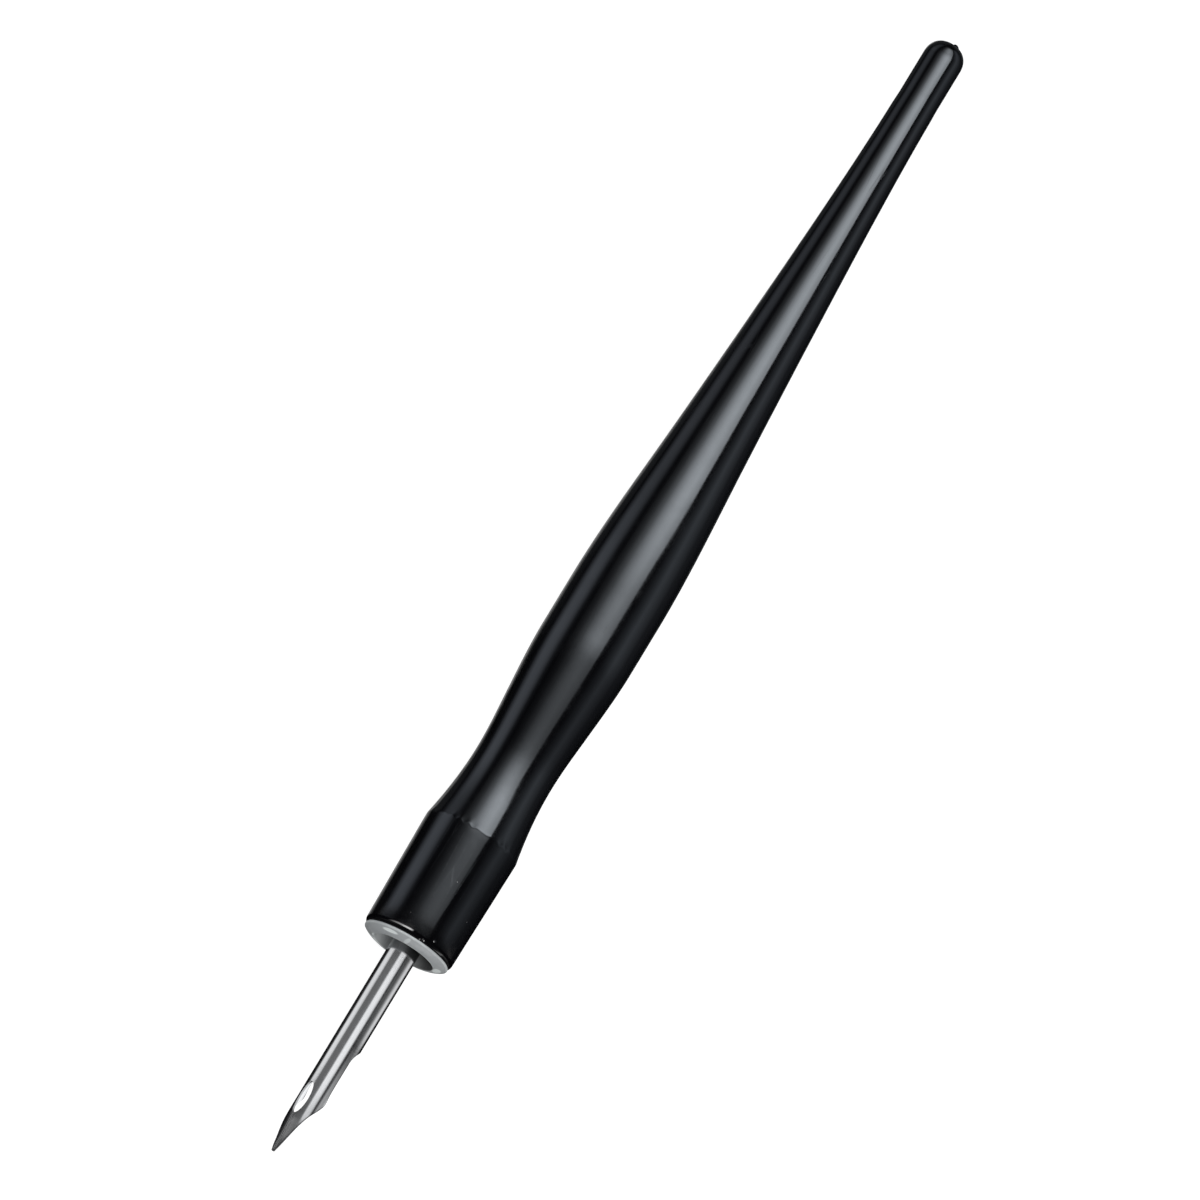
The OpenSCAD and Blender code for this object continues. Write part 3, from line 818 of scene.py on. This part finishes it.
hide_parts("handle")
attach(handle, "holder")
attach(gate, "holder")
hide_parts("collar")
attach(collar, "holder")
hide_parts("nib")
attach(nib, "nib")

socket = frame["nodes"]["nib_socket"]
socket.data.materials.clear()
socket.data.materials.append(mat_socket)
soft = socket.modifiers.new("soft_edges", "BEVEL")
soft.width, soft.segments, soft.limit_method, soft.angle_limit = 0.00004, 2, "ANGLE", math.radians(35)


# ---------------------------------------------------------------- table, light and camera
def plain_stage(ob, **see):
    for k in ("camera", "diffuse", "glossy", "transmission", "shadow", "volume_scatter"):
        if k in see:
            setattr(ob, "visible_" + k, see[k])


def floor():
    s = 3.0
    me = bpy.data.meshes.new("table")
    me.from_pydata([(-s, -s, 0), (s, -s, 0), (s, s, 0), (-s, s, 0)], [], [(0, 1, 2, 3)])
    ob = bpy.data.objects.new("table", me)
    bpy.context.scene.collection.objects.link(ob)
    ob.location.z = -0.00002
    m, nt, bsdf = material("pale_table")
    bsdf.inputs["Base Color"].default_value = (0.2, 0.2, 0.2, 1)
    bsdf.inputs["Roughness"].default_value = 0.9
    bsdf.inputs["Specular IOR Level"].default_value = 0.0
    bsdf.inputs["Emission Color"].default_value = (1, 1, 1, 1)
    bsdf.inputs["Emission Strength"].default_value = 0.93
    ob.data.materials.append(m)
    plain_stage(ob, glossy=False)
    return ob


def ramp(n, value, stops):
    """A value ramp through [position 0..1, grey] stops."""
    r = n.nt.nodes.new("ShaderNodeValToRGB")
    cr = r.color_ramp
    cr.interpolation = "LINEAR"
    while len(cr.elements) > 2:
        cr.elements.remove(cr.elements[-1])
    cr.elements[0].position, cr.elements[1].position = stops[0][0], stops[-1][0]
    for p, g in stops[1:-1]:
        cr.elements.new(p)
    for e, (p, g) in zip(sorted(cr.elements, key=lambda e: e.position), stops):
        e.color = (g, g, g, 1)
    n.link(value, r.inputs["Fac"])
    return r.outputs["Color"]


def light_panel(name, radius, across, along, strength, colour=(1, 1, 1), last=None):
    """A glowing panel curved round the pen's axis. across: [angle from the camera's direction, share]; along: [x in mm, share];
    last: [x, where its last edge stands there] for an edge that moves. Angles are positive towards -Y.
    radius may be a pair, for its two ends. It is seen in reflections only."""
    a0, a1, x0, x1 = across[0][0], across[-1][0], along[0][0], along[-1][0]
    na = max(2, int(abs(a1 - a0) / 4))
    rows = sorted({x0, x1} | {x for x, _ in (last or [])})
    verts, faces, uv = [], [], []
    for xx in rows:
        end = a1 if last is None else float(np.interp(xx, [x for x, _ in last], [g for _, g in last]))
        for i in range(na + 1):
            psi = a0 + (end - a0) * i / na
            phi = math.radians(CAM_PHI - psi)
            r = float(np.interp(xx, [x0, x1], radius)) if isinstance(radius, tuple) else radius
            verts.append((xx, r * math.sin(phi), axis_z + r * math.cos(phi)))
            uv.append((i / na, (xx - x0) / (x1 - x0)))
    for j in range(len(rows) - 1):
        for i in range(na):
            k = j * (na + 1) + i
            faces.append((k, k + 1, k + na + 2, k + na + 1))
    ob = new_mesh(name, verts, faces, smooth=False)
    layer = ob.data.uv_layers.new(name="panel")
    for loop in ob.data.loops:
        layer.data[loop.index].uv = uv[loop.vertex_index]
    m = bpy.data.materials.new(name + "_glow")
    m.use_nodes = True
    nt = m.node_tree
    nt.nodes.remove(nt.nodes["Principled BSDF"])
    n = Nodes(nt)
    uvn = nt.nodes.new("ShaderNodeUVMap")
    uvn.uv_map = "panel"
    u, v, _ = n.split(uvn.outputs[0])
    ra = ramp(n, u, [((p - a0) / (a1 - a0), g) for p, g in across])
    rx = ramp(n, v, [((p - x0) / (x1 - x0), g) for p, g in along])
    em = nt.nodes.new("ShaderNodeEmission")
    em.inputs["Color"].default_value = (*colour, 1)
    n.link(n.math("MULTIPLY", n.math("MULTIPLY", ra, rx), strength), em.inputs["Strength"])
    n.link(em.outputs[0], nt.nodes["Material Output"].inputs["Surface"])
    ob.data.materials.append(m)
    plain_stage(ob, camera=False, diffuse=False, shadow=False, transmission=False, volume_scatter=False)
    return ob


def glow_strip(name, x0, x1, y0, y1, z, strength):
    """A lit strip of the table, seen in reflections only."""
    ob = new_mesh(name, [(x0, y0, z), (x1, y0, z), (x1, y1, z), (x0, y1, z)], [(0, 1, 2, 3)], smooth=False)
    m = bpy.data.materials.new(name + "_glow")
    m.use_nodes = True
    nt = m.node_tree
    nt.nodes.remove(nt.nodes["Principled BSDF"])
    em = nt.nodes.new("ShaderNodeEmission")
    em.inputs["Strength"].default_value = strength
    nt.links.new(em.outputs[0], nt.nodes["Material Output"].inputs["Surface"])
    ob.data.materials.append(m)
    plain_stage(ob, camera=False, diffuse=False, shadow=False, transmission=False, volume_scatter=False)
    return ob


table = floor()
# the large softbox over the pen: soft on one side, sharp on the other, and brighter towards the tail
light_panel(
    "softbox_over",
    400,
    [(-52, 0.008), (-42, 0.032), (-35, 0.065), (-23, 0.23), (-11.5, 0.60), (0, 0.90), (11.5, 1.0), (23, 0.77), (31.5, 0.66), (32.5, 0.0)],
    [(-40, 0.0), (-10, 0.12), (25, 0.15), (50, 0.150), (58, 0.165), (64, 0.24), (75, 0.32), (90, 0.40), (100, 0.46), (136, 0.62), (160, 0.73), (180, 0.84), (220, 0.74), (262, 0.66), (330, 0.5), (360, 0.5)],
    9.9,
    (0.86, 0.93, 1.0),
    [(-40, 31.5), (130, 32.5), (172, 38.5), (360, 38.5)],
)
# a weaker one on the left, low
light_panel(
    "softbox_left",
    400,
    [(-114, 0.0), (-106, 0.05), (-98, 0.36), (-89, 0.80), (-80, 0.85), (-73, 0.80), (-66, 0.5), (-60, 0.12), (-54, 0.03), (-47, 0.0)],
    [(-120, 0.7), (45, 0.88), (60, 0.90), (84, 0.92), (100, 0.90), (136, 0.70), (172, 0.46), (190, 0.42), (215, 0.54), (300, 0.52)],
    1.5,
    (0.79, 0.87, 1.0),
)
# a pale card on the right, at the height of the table
light_panel(
    "card_right",
    400,
    [(40, 0.0), (47, 0.10), (60, 0.45), (74, 1.0), (89, 0.55), (106, 0.15), (128, 0.04), (150, 0.0)],
    [(-120, 0.5), (54, 0.55), (80, 0.92), (120, 0.95), (300, 0.9)],
    0.86,
    (0.78, 0.88, 1.0),
)
# the edge of the table behind the pen, which draws a thin line along its left side
light_panel("table_edge", 400, [(-174, 0.0), (-163, 0.8), (-152, 1.0), (-146, 0.72), (-140, 0.0)], [(44, 0.85), (75, 0.9), (110, 1.0), (150, 1.0), (160, 0.35), (168, 0.15), (175, 0.6), (186, 1.0), (300, 0.8), (360, 0.0)], 0.58)
# the far ends of the softboxes, which the tail's dome shows, and the faint room behind it
light_panel(
    "softbox_over_end",
    400,
    [(-35, 0.06), (-23, 0.23), (-11.5, 0.60), (0, 0.90), (11.5, 1.0), (23, 0.77), (37.5, 0.60), (38.5, 0.0)],
    [(360, 0.5), (600, 0.46), (900, 0.34), (1150, 0.18), (1500, 0.0)],
    9.9,
    (0.86, 0.93, 1.0),
)
light_panel("softbox_left_end", 400, [(-106, 0.04), (-98, 0.30), (-89, 0.66), (-80, 0.80), (-73, 0.80), (-66, 0.5), (-60, 0.12), (-47, 0.0)], [(300, 0.45), (420, 0.4), (800, 0.15), (1200, 0.0)], 1.5, (0.79, 0.87, 1.0))
light_panel("card_right_end", 400, [(47, 0.15), (60, 0.60), (74, 1.0), (89, 0.60), (106, 0.17), (128, 0.0)], [(300, 0.9), (900, 0.7), (1300, 0.3), (1500, 0.0)], 0.86, (0.78, 0.88, 1.0))
light_panel("room", 430, [(-178, 1.0), (178, 1.0)], [(60, 0.0), (190, 1.0), (1500, 1.0)], 0.10, (0.86, 0.93, 1.0))
# what stands round the nib, closer than the rest: over its tube and trough, on its right, and over the ground point
for part, left_band, level, x_from, x_to in (("round_tube", 1.0, 1.0, -52.6, -34.3), ("round_trough", 0.14, 0.68, -62.6, -52.6)):
    light_panel(
        part,
        40,
        [(-178, 0.01), (-118, 0.01), (-108, 0.05), (-103, 0.5 * left_band), (-97, 0.84 * left_band), (-80, 0.88 * left_band), (-64, 0.68 * left_band), (-59, 0.2 * max(left_band, 0.6)),
         (-53, 0.145), (-14, 0.155), (-9, 0.5), (-4, 1.0), (24, 0.9), (32, 0.55), (37, 0.05), (45, 0.04)],
        [(x_from, level), (x_from + 8.0, level), (x_from + 9.6, 0.95), (x_to, 1.0)],
        1.4,
    )
light_panel(
    "right_of_nib",
    40,
    [(45, 0.05), (51, 0.10), (58, 0.08), (70, 0.13), (80, 0.30), (90, 0.6), (100, 0.76), (114, 0.66), (122, 0.1), (130, 0.01), (178, 0.01)],
    [(-46.8, 0.2), (-45.4, 0.9), (-43.5, 1.0), (-34.3, 1.0)],
    1.4,
)
light_panel(
    "right_of_trough",
    40,
    [(45, 0.05), (52, 0.14), (59, 0.42), (68, 0.36), (80, 0.33), (92, 0.5), (110, 0.36), (125, 0.05), (178, 0.01)],
    [(-62.6, 1.0), (-52.5, 1.0), (-50.2, 0.75), (-48.4, 0.36), (-46.8, 0.16)],
    1.4,
)
light_panel(
    "round_point",
    40,
    [(-178, 0.02), (-116, 0.02), (-100, 0.05), (-90, 0.14), (-80, 0.30), (-70, 0.52), (-58, 0.70), (-40, 0.56), (-14, 0.42), (-6, 0.46), (0, 0.54), (24, 0.50), (34, 0.2), (50, 0.12), (80, 0.3), (100, 0.3), (120, 0.1), (178, 0.02)],
    [(-72, 0.45), (-66, 0.6), (-64, 0.8), (-62.6, 1.0)],
    1.4,
)
# a black card that keeps the nib's lights off the head: a cone that leans like the nib's reflections
def baffle(name, x0, r0, x1, r1):
    verts, faces, n = [], [], 60
    for xx, r in ((x0, r0), (x1, r1)):
        for k in range(n):
            a = 2 * math.pi * k / n
            verts.append((xx, r * math.sin(a), axis_z + r * math.cos(a)))
    faces = [(k, (k + 1) % n, n + (k + 1) % n, n + k) for k in range(n)]
    ob = new_mesh(name, verts, faces, smooth=False)
    m = bpy.data.materials.new(name + "_black")
    m.use_nodes = True
    m.node_tree.nodes.remove(m.node_tree.nodes["Principled BSDF"])
    em = m.node_tree.nodes.new("ShaderNodeEmission")
    em.inputs["Strength"].default_value = 0.0
    m.node_tree.links.new(em.outputs[0], m.node_tree.nodes["Material Output"].inputs["Surface"])
    ob.data.materials.append(m)
    plain_stage(ob, camera=False, diffuse=False, shadow=False, transmission=False, volume_scatter=False)
    return ob


baffle("mouth_baffle", -43.52, 5.62, -34.5, 39.9)
# a lamp beside that card, seen only in the rounding of the mouth
light_panel("mouth_lamp", (5.95, 14.0), [(-44, 0.0), (-36, 0.25), (-24, 0.5), (-17, 1.0), (-8, 1.0), (-3, 0.0)], [(-43.38, 0.7), (-43.2, 1.0), (-42.5, 1.0), (-41.26, 0.0)], 14.0)
glow_strip("table_under_nib", -78, -56, -45, 1.8, 0.05, 1.55)


def world():
    w = bpy.data.worlds.new("studio")
    bpy.context.scene.world = w
    w.use_nodes = True
    nt = w.node_tree
    bg = nt.nodes["Background"]
    bg.inputs["Color"].default_value = (0.97, 0.985, 1.0, 1)
    path = nt.nodes.new("ShaderNodeLightPath")
    mr = nt.nodes.new("ShaderNodeMapRange")
    mr.inputs["To Min"].default_value = 0.62
    mr.inputs["To Max"].default_value = 0.014
    nt.links.new(path.outputs["Is Glossy Ray"], mr.inputs["Value"])
    nt.links.new(mr.outputs["Result"], bg.inputs["Strength"])


world()


def area(name, loc, target, size, watts, colour=(1, 1, 1)):
    light = bpy.data.lights.new(name, "AREA")
    light.shape, light.size, light.energy, light.color = "SQUARE", size, watts, colour
    ob = bpy.data.objects.new(name, light)
    bpy.context.scene.collection.objects.link(ob)
    ob.location = loc
    ob.rotation_mode = "QUATERNION"
    ob.rotation_quaternion = (Vector(target) - Vector(loc)).to_track_quat("-Z", "Y")
    ob.visible_glossy = False
    ob.visible_camera = False
    return ob


area("key", (-0.35, -0.35, 0.75), (0, 0, 0.005), 0.5, 5.0)

scene = bpy.context.scene
scene.view_settings.view_transform = "Standard"
scene.view_settings.look = "None"
scene.view_settings.exposure = 0.0
scene.view_settings.gamma = 1.0

cam_data = bpy.data.cameras.new("camera")
cam_data.type, cam_data.lens, cam_data.sensor_width = "PERSP", 1500.0, 36.0
cam_data.clip_start, cam_data.clip_end = 0.5, 20.0
cam = bpy.data.objects.new("camera", cam_data)
scene.collection.objects.link(cam)
right = Vector((math.cos(CAM_AZ), math.sin(CAM_AZ), 0.0))
up = CAM_BACK.cross(right).normalized()
width = 124.931 * MM
target = right * (-1.7585 * MM) + up * (1.3879 * MM)
cam.rotation_mode = "QUATERNION"
cam.rotation_quaternion = Matrix((right, up, CAM_BACK)).transposed().to_quaternion()
cam.location = target + CAM_BACK * (width * 1500.0 / 36.0)
scene.camera = cam
